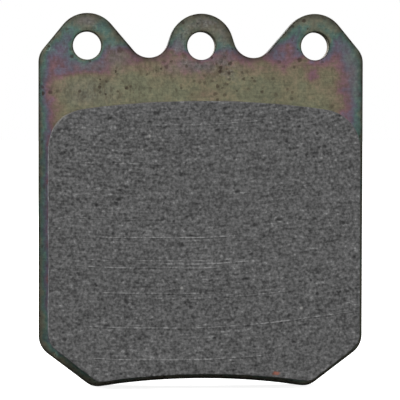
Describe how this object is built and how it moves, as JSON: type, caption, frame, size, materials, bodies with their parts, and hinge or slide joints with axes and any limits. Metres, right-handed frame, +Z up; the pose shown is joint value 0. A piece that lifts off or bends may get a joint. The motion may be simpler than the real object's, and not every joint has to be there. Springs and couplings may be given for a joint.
{
  "type": "brake pad",
  "caption": "Flat disc brake pad hung from pin eyes: plated steel backing plate with scalloped ears along the top and a moulded friction block bonded to its front face.",
  "frame": {"origin": "axis of the middle pin hole, on the backing plate's piston face", "axes": "+Z up toward the ears along the plate's height, +Y out of the piston (back) face, -Y out of the friction face, X across the plate's width"},
  "size_m": [0.061, 0.0112, 0.0701],
  "materials": {
    "plated_steel": "thin iridescent passivated zinc plating over stamped steel",
    "cured_resin": "cured adhesive",
    "moulded_underlayer": "moulded, matte",
    "friction_material": "ground, matte, fine metallic grain"
  },
  "bodies": {
    "root": {"backing_plate": "plated_steel", "adhesive_film": "cured_resin", "underlayer": "moulded_underlayer", "friction_block": "friction_material"}
  },
  "joints": []
}
